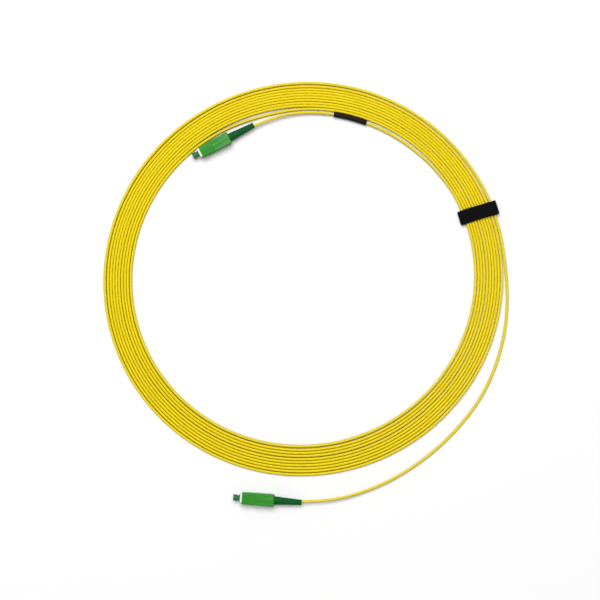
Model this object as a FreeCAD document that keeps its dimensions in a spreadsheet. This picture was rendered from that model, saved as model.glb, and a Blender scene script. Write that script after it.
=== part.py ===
import FreeCAD, Part
import math
import os
import Sketcher
from FreeCAD import Placement, Rotation, Vector

# Simplex fibre optic patch cord: a push-pull plug on each end, the cord coiled and tied.
# Frame: Z up, the cord lies on z = 0, Y runs from the outer plug towards the inner one.
# Plug axis: local X points from the mating face to the cord, zero at the grip's front edge.

document = FreeCAD.newDocument("PatchCord")
sheet = document.addObject("Spreadsheet::Sheet", "Sizes")

SIZES = [
    # cord and coil
    ("cord_diameter", 2.0),
    ("coil_turns", 10),
    ("coil_pitch", 2.44),
    ("coil_radius", 143.0),
    ("coil_oval", 1.0),
    ("oval_bearing", 10.0),
    ("coil_centre_x", -1.4),
    ("coil_centre_y", 10.5),
    ("cord_end_straight", 2.0),
    # tie strap
    ("tie_bearing", 21.5),
    ("strap_bearing", 17.5),
    ("strap_width", 10.0),
    ("strap_wall", 1.2),
    ("strap_headroom", 0.3),
    ("strap_end_room", 1.0),
    ("strap_lap", 19.0),
    # marker sleeve on the inner tail
    ("sleeve_length", 26.0),
    ("sleeve_diameter", 4.0),
    # shared clearances
    ("slide_gap", 0.05),
    ("seat_gap", 0.02),
    ("free_gap", 0.15),
    # plug grip
    ("grip_length", 25.0),
    ("nose_length", 10.5),
    ("nose_width", 9.0),
    ("nose_height", 7.4),
    ("back_width", 9.3),
    ("back_height", 7.8),
    ("spine_width", 2.2),
    ("spine_top", 0.45),
    ("spine_bottom", 0.9),
    ("key_length", 8.4),
    ("grip_travel", 2.2),
    ("window_front", 4.4),
    ("window_length", 5.4),
    ("window_height", 3.4),
    ("edge_chamfer", 0.5),
    ("back_chamfer", 0.8),
    ("rib_pitch", 1.8),
    ("rib_depth", 0.25),
    ("rib_count", 5),
    # plug frame inside the grip
    ("frame_width", 7.2),
    ("frame_height", 5.6),
    ("frame_lead", 1.6),
    ("frame_rear", 13.0),
    ("frame_chamfer", 0.5),
    ("sleeve_bore", 2.5),
    ("bore_depth", 6.2),
    ("web_thickness", 0.6),
    ("web_bore", 1.6),
    ("chamber_half", 2.4),
    ("ramp_height", 0.7),
    # ferrule, its hub and the fibre
    ("ferrule_radius", 1.25),
    ("ferrule_length", 10.5),
    ("ferrule_lead", 1.0),
    ("polish_angle", 8.0),
    ("tip_chamfer", 0.4),
    ("ferrule_travel", 1.0),
    ("hub_length", 3.2),
    ("hub_chamfer", 0.6),
    ("hub_tube_radius", 1.0),
    ("hub_tube_length", 7.55),
    ("buffer_radius", 0.45),
    # spring
    ("spring_play", 0.2),
    # rear body, yarn, crimp sleeve
    ("insert_length", 3.3),
    ("insert_bore", 1.95),
    ("seat_wall", 1.0),
    ("shoulder_length", 2.0),
    ("shoulder_width", 7.0),
    ("shoulder_height", 5.4),
    ("post_radius", 1.6),
    ("post_length", 8.0),
    ("yarn_thickness", 0.2),
    ("yarn_length", 6.4),
    ("crimp_wall", 0.35),
    ("crimp_front", 1.0),
    ("crimp_overhang", 0.4),
    ("crimp_neck_length", 5.0),
    # boot
    ("boot_front", 17.5),
    ("boot_end", 46.1),
    ("boot_radius", 3.1),
    ("boot_straight", 10.5),
    ("boot_end_radius", 1.95),
    # dust cap
    ("cap_radius", 2.4),
    ("cap_length", 5.2),
    ("cap_collar", 1.3),
    ("cap_waist", 1.2),
    ("cap_waist_radius", 1.7),
    ("cap_barrel_radius", 2.1),
    ("cap_barrel_length", 5.8),
    # where the grips' front edges lie, by bearing and by distance from the winding's middle
    ("plug_a_bearing", 129.2),
    ("plug_a_offset", -16.8),
    ("plug_a_heading", 27.3),
    ("plug_b_bearing", 254.2),
    ("plug_b_offset", 32.9),
    ("plug_b_heading", -4.3),
    ("tail_straight", 36.8),
]

for line, (alias, value) in enumerate(SIZES, start=1):
    sheet.set(f"A{line}", alias)
    sheet.set(f"B{line}", str(value))
    sheet.setAlias(f"B{line}", alias)
document.recompute()


# A length that knows its formula in the sheet as well as its present value.
class Length:
    def __init__(self, formula, value):
        self.formula = formula
        self.value = value

    def joined(self, sign, other, value):
        return Length(f"({self.formula} {sign} {other.formula})", value)

    def __add__(self, other):
        other = as_length(other)
        return self.joined("+", other, self.value + other.value)

    def __sub__(self, other):
        other = as_length(other)
        return self.joined("-", other, self.value - other.value)

    def __mul__(self, other):
        other = as_length(other)
        return self.joined("*", other, self.value * other.value)

    def __truediv__(self, other):
        other = as_length(other)
        return self.joined("/", other, self.value / other.value)

    def __neg__(self):
        return Length(f"(0 - {self.formula})", -self.value)


def as_length(value):
    if isinstance(value, Length):
        return value
    return Length(str(value), float(value))


def size(alias):
    return Length(f"Sizes.{alias}", float(sheet.get(alias)))


def bind(feature, setting, length):
    feature.setExpression(setting, length.formula)


# Bodies and sketches

def new_body(label):
    body = document.addObject("PartDesign::Body", label)
    body.Label = label
    return body


def sketch_on(body, role, offset=0):
    sketch = body.newObject("Sketcher::SketchObject", f"{body.Label}_sketch")
    plane = next(item for item in body.Origin.OriginFeatures if item.Role == role)
    sketch.AttachmentSupport = [(plane, "")]
    sketch.MapMode = "FlatFace"
    bind(sketch, ".AttachmentOffset.Base.z", as_length(offset))
    return sketch


# A closed outline of straight lines, each corner held by two sizes.
def outline(sketch, corners):
    first = sketch.GeometryCount
    corners = [(as_length(x), as_length(y)) for x, y in corners]
    count = len(corners)
    for number, (x, y) in enumerate(corners):
        next_x, next_y = corners[(number + 1) % count]
        start = Vector(x.value, y.value, 0)
        end = Vector(next_x.value, next_y.value, 0)
        sketch.addGeometry(Part.LineSegment(start, end))
    for number, (x, y) in enumerate(corners):
        line = first + number
        before = first + (number - 1) % count
        sketch.addConstraint(Sketcher.Constraint("Coincident", before, 2, line, 1))
        for kind, length in (("DistanceX", x), ("DistanceY", y)):
            constraint = Sketcher.Constraint(kind, -1, 1, line, 1, length.value)
            index = sketch.addConstraint(constraint)
            bind(sketch, f"Constraints[{index}]", length)


def rectangle(sketch, low_x, high_x, low_y, high_y):
    outline(sketch, [(low_x, low_y), (high_x, low_y), (high_x, high_y), (low_x, high_y)])


def hexagon(sketch, flat_radius):
    corners = []
    for number in range(6):
        angle = math.pi / 3 * number
        across = flat_radius * (hexagon_share * math.cos(angle))
        upward = flat_radius * (hexagon_share * math.sin(angle))
        corners.append((across, upward))
    outline(sketch, corners)


def circle(sketch, radius):
    number = sketch.addGeometry(Part.Circle(Vector(0, 0, 0), Vector(0, 0, 1), radius.value))
    sketch.addConstraint(Sketcher.Constraint("Coincident", number, 3, -1, 1))
    index = sketch.addConstraint(Sketcher.Constraint("Radius", number, radius.value))
    bind(sketch, f"Constraints[{index}]", radius)


def feature_on(body, kind, sketch):
    feature = body.newObject(f"PartDesign::{kind}", f"{body.Label}_{kind.lower()}")
    feature.Profile = sketch
    sketch.Visibility = False
    body.Tip = feature
    return feature


def pad(body, sketch, length, midplane=False):
    feature = feature_on(body, "Pad", sketch)
    bind(feature, "Length", length)
    feature.Midplane = midplane
    return feature


# Cuts a pocket and makes sure that it took something away.
def pocket(body, sketch, length=None, midplane=False, reverse=False):
    before = solid_volume(body)
    feature = feature_on(body, "Pocket", sketch)
    if length is None:
        feature.Type = "ThroughAll"
    else:
        bind(feature, "Length", length)
    feature.Midplane = midplane
    feature.Reversed = reverse
    if solid_volume(body) > before - 1e-4:
        raise RuntimeError(f"a pocket in {body.Label} cuts nothing")
    return feature


def solid_volume(body):
    document.recompute()
    return body.Shape.Volume


def revolve(body, corners, kind="Revolution"):
    sketch = sketch_on(body, "XZ_Plane")
    outline(sketch, corners)
    feature = feature_on(body, kind, sketch)
    feature.ReferenceAxis = (sketch, ["H_Axis"])
    feature.Angle = 360
    return feature


# Turns an outline about the plug's axis and takes it away.
def groove(body, corners):
    before = solid_volume(body)
    revolve(body, corners, "Groove")
    if solid_volume(body) > before - 1e-4:
        raise RuntimeError(f"a groove in {body.Label} cuts nothing")


def dress(body, kind, edges, setting, length):
    base = body.Tip
    feature = body.newObject(f"PartDesign::{kind}", f"{body.Label}_{kind.lower()}")
    feature.Base = (base, edges)
    bind(feature, setting, length)
    body.Tip = feature
    return feature


def edges_where(body, test):
    document.recompute()
    found = []
    for number, edge in enumerate(body.Shape.Edges, start=1):
        ends = [vertex.Point for vertex in edge.Vertexes]
        if len(ends) == 2 and test(ends[0], ends[1]):
            found.append(f"Edge{number}")
    return found


# Positions and fits along the plug's axis that several pieces share

plug_height = size("back_height") / 2 + size("spine_bottom")
cavity_half_width = size("frame_width") / 2 + size("slide_gap")
cavity_half_height = size("frame_height") / 2 + size("slide_gap")
frame_front = -size("frame_lead")
web_front = frame_front + size("bore_depth")
web_rear = web_front + size("web_thickness")
hub_front = web_rear + size("slide_gap")
hub_rear = hub_front + size("hub_length")
hub_tube_rear = hub_rear + size("hub_tube_length")
ferrule_tip = frame_front - size("ferrule_lead")
ferrule_rear = ferrule_tip + size("ferrule_length")
ferrule_socket = size("ferrule_radius") + size("seat_gap")
seat_front = size("frame_rear") + size("seat_wall")
shoulder_rear = size("frame_rear") + size("shoulder_length")
post_rear = shoulder_rear + size("post_length")
fibre_bore = size("buffer_radius") + size("slide_gap")
cord_bore = size("cord_diameter") / 2 + size("free_gap")
yarn_inner = size("post_radius") + size("seat_gap")
yarn_flat = yarn_inner + size("yarn_thickness")
crimp_flat = yarn_flat + size("seat_gap")
crimp_outer_flat = crimp_flat + size("crimp_wall")
crimp_neck_radius = cord_bore + size("crimp_wall")
crimp_shoulder = post_rear + size("crimp_overhang")
crimp_rear = crimp_shoulder + size("crimp_wall") + size("crimp_neck_length")
hexagon_share = 1 / math.cos(math.pi / 6)


# Outer grip: nose with windows and key, thicker back with spines and ribs

def make_grip(label):
    body = new_body(label)
    half_width = size("nose_width") / 2
    half_height = size("nose_height") / 2
    sketch = sketch_on(body, "YZ_Plane")
    rectangle(sketch, -half_width, half_width, -half_height, half_height)
    pad(body, sketch, size("nose_length"))
    half_width = size("back_width") / 2
    half_height = size("back_height") / 2
    back_length = size("grip_length") - size("nose_length")
    sketch = sketch_on(body, "YZ_Plane", size("nose_length"))
    rectangle(sketch, -half_width, half_width, -half_height, half_height)
    pad(body, sketch, back_length)
    rear = size("grip_length").value
    rear_edges = edges_where(body, lambda a, b: min(a.x, b.x) > rear - 1e-6)
    dress(body, "Chamfer", rear_edges, "Size", size("back_chamfer"))
    long_edges = edges_where(body, lambda a, b: abs(a.x - b.x) > 5)
    dress(body, "Chamfer", long_edges, "Size", size("edge_chamfer"))
    half_spine = size("spine_width") / 2
    sketch = sketch_on(body, "YZ_Plane", size("nose_length"))
    rectangle(sketch, -half_spine, half_spine, -plug_height, half_height + size("spine_top"))
    pad(body, sketch, back_length - size("back_chamfer"))
    sketch = sketch_on(body, "YZ_Plane")
    rectangle(sketch, -half_spine, half_spine, -plug_height, -cavity_half_height)
    pad(body, sketch, size("key_length"))
    sketch = sketch_on(body, "YZ_Plane", size("grip_length"))
    rectangle(sketch, -cavity_half_width, cavity_half_width, -cavity_half_height, cavity_half_height)
    pocket(body, sketch)
    boot_room = size("boot_radius") + size("free_gap")
    room_front = size("boot_front") - size("grip_travel") - size("free_gap")
    sketch = sketch_on(body, "YZ_Plane", size("grip_length"))
    rectangle(sketch, -cavity_half_width, cavity_half_width, -boot_room, boot_room)
    pocket(body, sketch, size("grip_length") - room_front)
    window_rear = size("window_front") + size("window_length")
    half_window = size("window_height") / 2
    sketch = sketch_on(body, "XZ_Plane")
    rectangle(sketch, size("window_front"), window_rear, -half_window, half_window)
    pocket(body, sketch, midplane=True)
    sketch = sketch_on(body, "XY_Plane")
    notch = size("rib_depth")
    for number in range(int(size("rib_count").value)):
        middle = size("nose_length") + size("rib_pitch") * (number + 1.5)
        for side in (-1, 1):
            outer = half_width * side
            inner = (half_width - notch) * side
            outline(sketch, [(middle - notch, outer), (middle, inner), (middle + notch, outer)])
    pocket(body, sketch, midplane=True)
    return body


# Plug frame: adapter bore in front, square chamber behind its web, and a ramp on each side

def make_frame(label):
    body = new_body(label)
    half_width = size("frame_width") / 2
    half_height = size("frame_height") / 2
    sketch = sketch_on(body, "YZ_Plane", frame_front)
    rectangle(sketch, -half_width, half_width, -half_height, half_height)
    pad(body, sketch, size("frame_rear") - frame_front)
    long_edges = edges_where(body, lambda a, b: abs(a.x - b.x) > 5)
    dress(body, "Chamfer", long_edges, "Size", size("frame_chamfer"))
    ramp_front = size("window_front") + size("grip_travel") + size("slide_gap") * 2
    ramp_rear = size("window_front") + size("window_length") - size("slide_gap") * 2
    half_ramp = size("window_height") / 2 - size("slide_gap") * 2
    sketch = sketch_on(body, "XY_Plane")
    for side in (-1, 1):
        wall = (half_width - size("frame_chamfer")) * side
        flat = half_width * side
        crest = (half_width + size("ramp_height")) * side
        corners = [(ramp_front, wall), (ramp_front, flat), (ramp_rear - size("ramp_height"), crest)]
        outline(sketch, corners + [(ramp_rear, crest), (ramp_rear, wall)])
    pad(body, sketch, half_ramp * 2, midplane=True)
    chamber = size("chamber_half")
    sketch = sketch_on(body, "YZ_Plane", size("frame_rear"))
    rectangle(sketch, -chamber, chamber, -chamber, chamber)
    pocket(body, sketch, size("frame_rear") - web_rear)
    groove(body, [
        (frame_front - 1, 0),
        (web_rear + 1, 0),
        (web_rear + 1, size("web_bore")),
        (web_front, size("web_bore")),
        (web_front, size("sleeve_bore")),
        (frame_front - 1, size("sleeve_bore")),
    ])
    return body


# Ferrule: ceramic pin, its tip chamfered and polished at an angle

def make_ferrule(label):
    body = new_body(label)
    radius = size("ferrule_radius")
    chamfer = size("tip_chamfer")
    revolve(body, [
        (ferrule_tip, 0),
        (ferrule_rear, 0),
        (ferrule_rear, radius),
        (ferrule_tip + chamfer, radius),
        (ferrule_tip, radius - chamfer / 2),
    ])
    rise = 2 * math.tan(math.radians(size("polish_angle").value))
    sketch = sketch_on(body, "XZ_Plane")
    outline(sketch, [
        (ferrule_tip - 1, -radius),
        (ferrule_tip, -radius),
        (ferrule_tip + radius * rise, radius),
        (ferrule_tip - 1, radius),
    ])
    pocket(body, sketch, midplane=True)
    return body


# Hub: keyed metal collar pressed on the ferrule, with a tail tube that guides the fibre

def make_hub(label):
    body = new_body(label)
    half = size("chamber_half") - size("free_gap")
    sketch = sketch_on(body, "YZ_Plane", hub_front)
    rectangle(sketch, -half, half, -half, half)
    pad(body, sketch, size("hub_length"))
    long_edges = edges_where(body, lambda a, b: abs(a.x - b.x) > 1)
    dress(body, "Chamfer", long_edges, "Size", size("hub_chamfer"))
    revolve(body, [
        (ferrule_rear, 0),
        (hub_tube_rear, 0),
        (hub_tube_rear, size("hub_tube_radius")),
        (ferrule_rear, size("hub_tube_radius")),
    ])
    groove(body, [
        (hub_front - 1, 0),
        (hub_tube_rear + 1, 0),
        (hub_tube_rear + 1, fibre_bore),
        (ferrule_rear + size("seat_gap"), fibre_bore),
        (ferrule_rear + size("seat_gap"), ferrule_socket),
        (hub_front - 1, ferrule_socket),
    ])
    return body


# Fibre in its buffer, from the ferrule's foot to the end of the cord's jacket

def make_fibre(label):
    body = new_body(label)
    front = ferrule_rear + size("seat_gap") * 2
    rear = post_rear - size("ferrule_travel") - size("free_gap")
    buffer = size("buffer_radius")
    revolve(body, [(front, 0), (rear, 0), (rear, buffer), (front, buffer)])
    return body


# Spring between the hub's collar and the rear body's seat, drawn as the tube that it fills

def make_spring(label):
    body = new_body(label)
    front = hub_rear + size("seat_gap")
    rear = seat_front - size("seat_gap")
    inner = size("hub_tube_radius") + size("spring_play")
    outer = size("insert_bore") - size("spring_play")
    revolve(body, [(front, inner), (rear, inner), (rear, outer), (front, outer)])
    return body


# Rear body: square insert in the frame, shoulder behind it and the post for the yarn

def make_rear_body(label):
    body = new_body(label)
    insert = size("chamber_half") - size("slide_gap")
    insert_front = size("frame_rear") - size("insert_length")
    sketch = sketch_on(body, "YZ_Plane", insert_front)
    rectangle(sketch, -insert, insert, -insert, insert)
    pad(body, sketch, size("insert_length"))
    half_width = size("shoulder_width") / 2
    half_height = size("shoulder_height") / 2
    sketch = sketch_on(body, "YZ_Plane", size("frame_rear"))
    rectangle(sketch, -half_width, half_width, -half_height, half_height)
    pad(body, sketch, size("shoulder_length"))
    post = size("post_radius")
    middle = size("frame_rear") + size("shoulder_length") / 2
    revolve(body, [(middle, 0), (post_rear, 0), (post_rear, post), (middle, post)])
    tube_bore = size("hub_tube_radius") + size("free_gap")
    groove(body, [
        (insert_front - 1, 0),
        (post_rear + 1, 0),
        (post_rear + 1, tube_bore),
        (seat_front, tube_bore),
        (seat_front, size("insert_bore")),
        (insert_front - 1, size("insert_bore")),
    ])
    return body


# Yarn of the cord, laid back over the post and pressed six-sided by the crimp

def make_yarn(label):
    body = new_body(label)
    rear = post_rear - size("seat_gap")
    sketch = sketch_on(body, "YZ_Plane", rear - size("yarn_length"))
    hexagon(sketch, yarn_flat)
    circle(sketch, yarn_inner)
    pad(body, sketch, size("yarn_length"))
    return body


# Crimp sleeve: six-sided part over the yarn, round neck over the cord's jacket

def make_crimp_sleeve(label):
    body = new_body(label)
    front = shoulder_rear + size("crimp_front")
    step = crimp_shoulder + size("crimp_wall")
    sketch = sketch_on(body, "YZ_Plane", front)
    hexagon(sketch, crimp_outer_flat)
    pad(body, sketch, step - front)
    revolve(body, [
        (crimp_shoulder, 0),
        (crimp_rear, 0),
        (crimp_rear, crimp_neck_radius),
        (crimp_shoulder, crimp_neck_radius),
    ])
    sketch = sketch_on(body, "YZ_Plane", crimp_shoulder)
    hexagon(sketch, crimp_flat)
    pocket(body, sketch, crimp_shoulder - front)
    groove(body, [
        (front, 0),
        (crimp_rear + 1, 0),
        (crimp_rear + 1, cord_bore),
        (front, cord_bore),
    ])
    return body


# Boot: straight over the crimp, then lofted down to the cord; its bore steps with the crimp

def make_boot(label):
    body = new_body(label)
    front = size("boot_front")
    straight = front + size("boot_straight")
    sketch = sketch_on(body, "YZ_Plane", front)
    circle(sketch, size("boot_radius"))
    pad(body, sketch, size("boot_straight"))
    taper_front = sketch_on(body, "YZ_Plane", straight)
    circle(taper_front, size("boot_radius"))
    taper_rear = sketch_on(body, "YZ_Plane", size("boot_end"))
    circle(taper_rear, size("boot_end_radius"))
    taper = feature_on(body, "AdditiveLoft", taper_front)
    taper.Sections = [taper_rear]
    taper.Ruled = True
    crimp_room = crimp_outer_flat * hexagon_share + size("slide_gap")
    neck_front = crimp_shoulder + size("crimp_wall") + size("free_gap")
    neck_room = crimp_neck_radius + size("slide_gap")
    neck_rear = crimp_rear + size("free_gap")
    groove(body, [
        (front - 1, 0),
        (size("boot_end") + 1, 0),
        (size("boot_end") + 1, cord_bore),
        (neck_rear, cord_bore),
        (neck_rear, neck_room),
        (neck_front, neck_room),
        (neck_front, crimp_room),
        (front - 1, crimp_room),
    ])
    return body


# Dust cap: barrel over the ferrule, collar against the frame, waist and knob

def make_cap(label):
    body = new_body(label)
    back = frame_front - size("seat_gap")
    front = back - size("cap_length")
    barrel = size("cap_barrel_radius")
    barrel_rear = back + size("cap_barrel_length")
    collar_front = back - size("cap_collar")
    waist_front = collar_front - size("cap_waist")
    bottom = ferrule_tip - size("free_gap")
    radius = size("cap_radius")
    revolve(body, [
        (front, 0),
        (bottom, 0),
        (bottom, ferrule_socket),
        (barrel_rear, ferrule_socket),
        (barrel_rear, barrel),
        (back, barrel),
        (back, radius),
        (collar_front, radius),
        (collar_front, size("cap_waist_radius")),
        (waist_front, size("cap_waist_radius")),
        (waist_front, radius),
        (front, radius),
    ])
    return body


# Curves built from arcs that meet in line

def arc_edge(start, heading, end):
    chord = end - start
    along = chord.dot(heading)
    side = chord - heading * along
    offset = side.Length
    if offset < 1e-9:
        return Part.LineSegment(start, end).toShape(), Vector(heading), math.inf
    side = side / offset
    radius = chord.dot(chord) / (2 * offset)
    turn = 2 * math.atan2(offset, along)
    centre = start + side * radius
    middle = centre - side * (radius * math.cos(turn / 2)) + heading * (radius * math.sin(turn / 2))
    leaving = heading * math.cos(turn) + side * math.sin(turn)
    return Part.Arc(start, middle, end).toShape(), leaving, radius


# Two arcs between two points that match the heading at both.
def biarc(start, heading, end, leaving):
    chord = end - start
    total = heading + leaving
    spread = 2 * (1 - heading.dot(leaving))
    along = chord.dot(total)
    if spread < 1e-12:
        reach = chord.dot(chord) / (4 * chord.dot(leaving))
    else:
        reach = (math.sqrt(along * along + spread * chord.dot(chord)) - along) / spread
    joint = (start + end + (heading - leaving) * reach) * 0.5
    first, middle_heading, first_radius = arc_edge(start, heading, joint)
    second, _, second_radius = arc_edge(joint, middle_heading, end)
    return [first, second], min(first_radius, second_radius)


# Polygon section of the same area as a round one, with a flat below
def section(centre, heading, radius, sides, up):
    across = up.cross(heading)
    across.normalize()
    upward = heading.cross(across)
    slice_angle = 2 * math.pi / sides
    reach = radius * math.sqrt(slice_angle / math.sin(slice_angle))
    corners = []
    for number in range(sides):
        angle = slice_angle * (number + 0.5) - math.pi / 2
        corners.append(centre + across * (reach * math.cos(angle)) + upward * (reach * math.sin(angle)))
    return Part.makePolygon(corners + corners[:1]), math.pi * radius * radius


def sweep(label, edges, heading, radius, sides, up):
    path = Part.Wire(edges)
    start = path.OrderedVertexes[0].Point
    profile, area = section(start, heading, radius, sides, up)
    solid = path.makePipeShell([profile], True, False)
    share = solid.Volume / (area * path.Length)
    print(f"{label}: path {path.Length:.1f} mm, volume over section x length {share:.4f}")
    if abs(share - 1) > 0.01:
        raise RuntimeError(f"{label} does not follow its path")
    return solid


def add_solid(label, solid, placement=Placement()):
    feature = document.addObject("Part::Feature", label)
    feature.Label = label
    feature.Shape = solid
    feature.Placement = placement
    return feature


# Coil: one flat layer that winds out from the inner tail to the outer one

turns = int(size("coil_turns").value)
pitch = size("coil_pitch").value
cord_radius = size("cord_diameter").value / 2
tie_bearing = math.radians(size("tie_bearing").value)
oval_bearing = math.radians(size("oval_bearing").value)
coil_centre = Vector(size("coil_centre_x").value, size("coil_centre_y").value, 0)


def coil_point(turn):
    bearing = tie_bearing - 2 * math.pi * turn
    oval = size("coil_oval").value * math.cos(2 * (bearing - oval_bearing))
    radius = size("coil_radius").value + oval + pitch * (turn - turns / 2)
    return Vector(radius * math.cos(bearing), radius * math.sin(bearing), 0)


def coil_heading(turn):
    step = 1e-4
    return (coil_point(turn + step) - coil_point(turn - step)).normalize()


# The coil leans a little, because at the tie it lies on the strap's lower layer.
lift = size("strap_wall").value + size("strap_headroom").value / 2
lean = math.degrees(math.asin(lift / 2 / size("coil_radius").value))
lean_axis = Vector(math.sin(tie_bearing), -math.cos(tie_bearing), 0)
coil_level = Vector(0, 0, cord_radius + lift / 2)
coil_placement = Placement(coil_centre + coil_level, Rotation(lean_axis, lean))


# Where the coil's winding meets a tail: its end point and the way the cord runs there.
def coil_end(turn, way):
    heading = coil_heading(turn)
    return coil_point(turn) + heading * (way * size("cord_end_straight").value), heading


def make_coil(label):
    inner, heading = coil_end(0, -1)
    outer, _ = coil_end(turns, 1)
    edges = [Part.LineSegment(inner, coil_point(0)).toShape()]
    radii = []
    for quarter in range(turns * 4):
        first, second = quarter / 4, (quarter + 1) / 4
        start, end = coil_point(first), coil_point(second)
        arcs, radius = biarc(start, coil_heading(first), end, coil_heading(second))
        edges += arcs
        radii.append(radius)
    edges.append(Part.LineSegment(coil_point(turns), outer).toShape())
    least = least_gap(edges, 8) - 2 * cord_radius
    print(f"{label}: tightest arc {min(radii):.0f} mm, least gap to itself {least:.2f} mm")
    if least < 0.4:
        raise RuntimeError("the coil's turns lie too close")
    solid = sweep(label, edges, heading, cord_radius, 4, Vector(0, 0, 1))
    return add_solid(label, solid, coil_placement), Part.Wire(edges).Length


# Smallest distance from points of each arc to the arcs one turn further out.
def least_gap(edges, arcs_per_turn):
    least = math.inf
    for number, edge in enumerate(edges):
        onward = number + arcs_per_turn
        others = edges[onward - 1:onward + 2]
        if others:
            row = Part.Compound(others)
            for point in edge.discretize(9):
                least = min(least, Part.Vertex(point).distToShape(row)[0])
    return least


def beside_coil(bearing, offset, height):
    angle = math.radians(bearing)
    reach = size("coil_radius").value + offset
    return coil_centre + Vector(reach * math.cos(angle), reach * math.sin(angle), height)


def plug_placement(tag):
    bearing = size(f"plug_{tag}_bearing").value
    front = beside_coil(bearing, size(f"plug_{tag}_offset").value, plug_height.value)
    heading = size(f"plug_{tag}_heading").value
    return Placement(front, Rotation(Vector(0, 0, 1), heading))


# A tail runs in straight stretches joined by arcs, as its hand-chosen points say.
def tail_edges(label, points):
    edges = []
    arcs = []
    at = points[0]
    for before, corner, after in zip(points, points[1:], points[2:]):
        way_in = (corner - before).normalize()
        way_out = (after - corner).normalize()
        cut = 0.45 * min((corner - before).Length, (after - corner).Length)
        half_turn = way_in.getAngle(way_out) / 2
        start = corner - way_in * cut
        end = corner + way_out * cut
        edges.append(Part.LineSegment(at, start).toShape())
        edges.append(arc_edge(start, way_in, end)[0])
        arcs.append((start, way_in, end, way_out, cut / math.tan(half_turn)))
        at = end
    edges.append(Part.LineSegment(at, points[-1]).toShape())
    print(f"{label}: arc radii", ", ".join(f"{arc[4]:.0f}" for arc in arcs))
    return edges, arcs


# Points of each tail between its plug and the coil: bearing, distance from the winding's middle, height
INNER_TAIL = [
    (87.5, -13.2, 3.7),
    (73.5, -13.7, 2.5),
    (59.5, -13.7, 2.0),
    (45.5, -13.7, 2.0),
    (34.0, -13.4, 2.25),
]
OUTER_TAIL = [
    (5.0, 14.3, 2.1),
    (-7.5, 16.6, 1.6),
    (-20.0, 20.0, 1.2),
    (-33.0, 23.0, 1.1),
    (-46.0, 24.0, 1.1),
    (-59.0, 26.0, 1.5),
    (-72.0, 28.5, 3.0),
]
TIE_RUN = 9.0
OUTER_TIE_RUN = 18.0


def plug_stretch(tag):
    placement = plug_placement(tag)
    jacket_end = placement.multVec(Vector(post_rear.value, 0, 0))
    bend = placement.multVec(Vector(post_rear.value + size("tail_straight").value, 0, 0))
    return jacket_end, bend


# The same end, where it lies once the coil leans on the strap.
def tail_meeting(turn, way):
    point, heading = coil_end(turn, way)
    return coil_placement.multVec(point), coil_placement.Rotation.multVec(heading)


def make_tails():
    lie = [beside_coil(*point) for point in INNER_TAIL]
    jacket_end, bend = plug_stretch("a")
    end, heading = tail_meeting(0, -1)
    points = [jacket_end, bend] + lie + [end - heading * TIE_RUN, end]
    edges, arcs = tail_edges("cord_tail_a", points)
    way = (points[1] - points[0]).normalize()
    solid = sweep("cord_tail_a", edges, way, cord_radius, 6, Vector(0, 0, 1))
    tail_a = add_solid("cord_tail_a", solid)
    length = Part.Wire(edges).Length
    marker = make_marker_sleeve("marker_sleeve", arcs[2])
    lie = [beside_coil(*point) for point in OUTER_TAIL]
    jacket_end, bend = plug_stretch("b")
    end, heading = tail_meeting(turns, 1)
    points = [end, end + heading * OUTER_TIE_RUN] + lie + [bend, jacket_end]
    edges, arcs = tail_edges("cord_tail_b", points)
    solid = sweep("cord_tail_b", edges, heading, cord_radius, 6, Vector(0, 0, 1))
    tail_b = add_solid("cord_tail_b", solid)
    return [tail_a, tail_b, marker], length + Part.Wire(edges).Length


# Marker sleeve: a short tube that follows one bend of the inner tail
def make_marker_sleeve(label, arc):
    start, way_in, end, way_out, radius = arc
    side = way_in.cross(way_out).cross(way_in).normalize()
    centre = start + side * radius
    axis = way_in.cross(way_out).normalize()
    turn = math.degrees(way_in.getAngle(way_out))
    length = min(size("sleeve_length").value, math.radians(turn) * radius * 0.98)
    angle = math.degrees(length / radius)
    up = Vector(0, 0, 1)
    outer, _ = section(start, way_in, size("sleeve_diameter").value / 2, 8, up)
    inner, _ = section(start, way_in, cord_bore.value, 8, up)
    ring = Part.Face(outer).cut(Part.Face(inner))
    ring.rotate(centre, axis, (turn - angle) / 2)
    return add_solid(label, ring.Faces[0].revolve(centre, axis, angle))


# Tie: a strap wrapped once round all the strands, its end lapped over the top

def make_strap(label):
    body = new_body(label)
    wall = size("strap_wall")
    inner_width = size("coil_pitch") * size("coil_turns") / 2 + size("cord_diameter") / 2 + size("strap_end_room")
    headroom = size("cord_diameter") + size("strap_headroom")
    outer_width = inner_width + wall
    bevel = wall
    top = wall + headroom + wall
    sketch = sketch_on(body, "XZ_Plane")
    outline(sketch, [
        (bevel - outer_width, 0),
        (outer_width - bevel, 0),
        (outer_width, bevel),
        (outer_width, top - bevel),
        (outer_width - bevel, top),
        (bevel - outer_width, top),
        (-outer_width, top - bevel),
        (-outer_width, bevel),
    ])
    outline(sketch, [
        (-inner_width + bevel / 2, wall),
        (inner_width - bevel / 2, wall),
        (inner_width, wall + bevel / 2),
        (inner_width, top - wall - bevel / 2),
        (inner_width - bevel / 2, top - wall),
        (-inner_width + bevel / 2, top - wall),
        (-inner_width, top - wall - bevel / 2),
        (-inner_width, wall + bevel / 2),
    ])
    pad(body, sketch, size("strap_width"), midplane=True)
    lap_start = bevel - outer_width
    lap_end = lap_start + size("strap_lap")
    sketch = sketch_on(body, "XZ_Plane")
    outline(sketch, [
        (lap_start, top - wall / 4),
        (lap_end, top - wall / 4),
        (lap_end - wall / 2, top + wall * 0.8),
        (lap_start + wall / 2, top + wall * 0.8),
    ])
    pad(body, sketch, size("strap_width"), midplane=True)
    place = (coil_point(0) + coil_point(turns)) / 2
    bearing = Rotation(Vector(0, 0, 1), size("strap_bearing").value)
    body.Placement = Placement(coil_centre + place, bearing)
    return body


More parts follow.
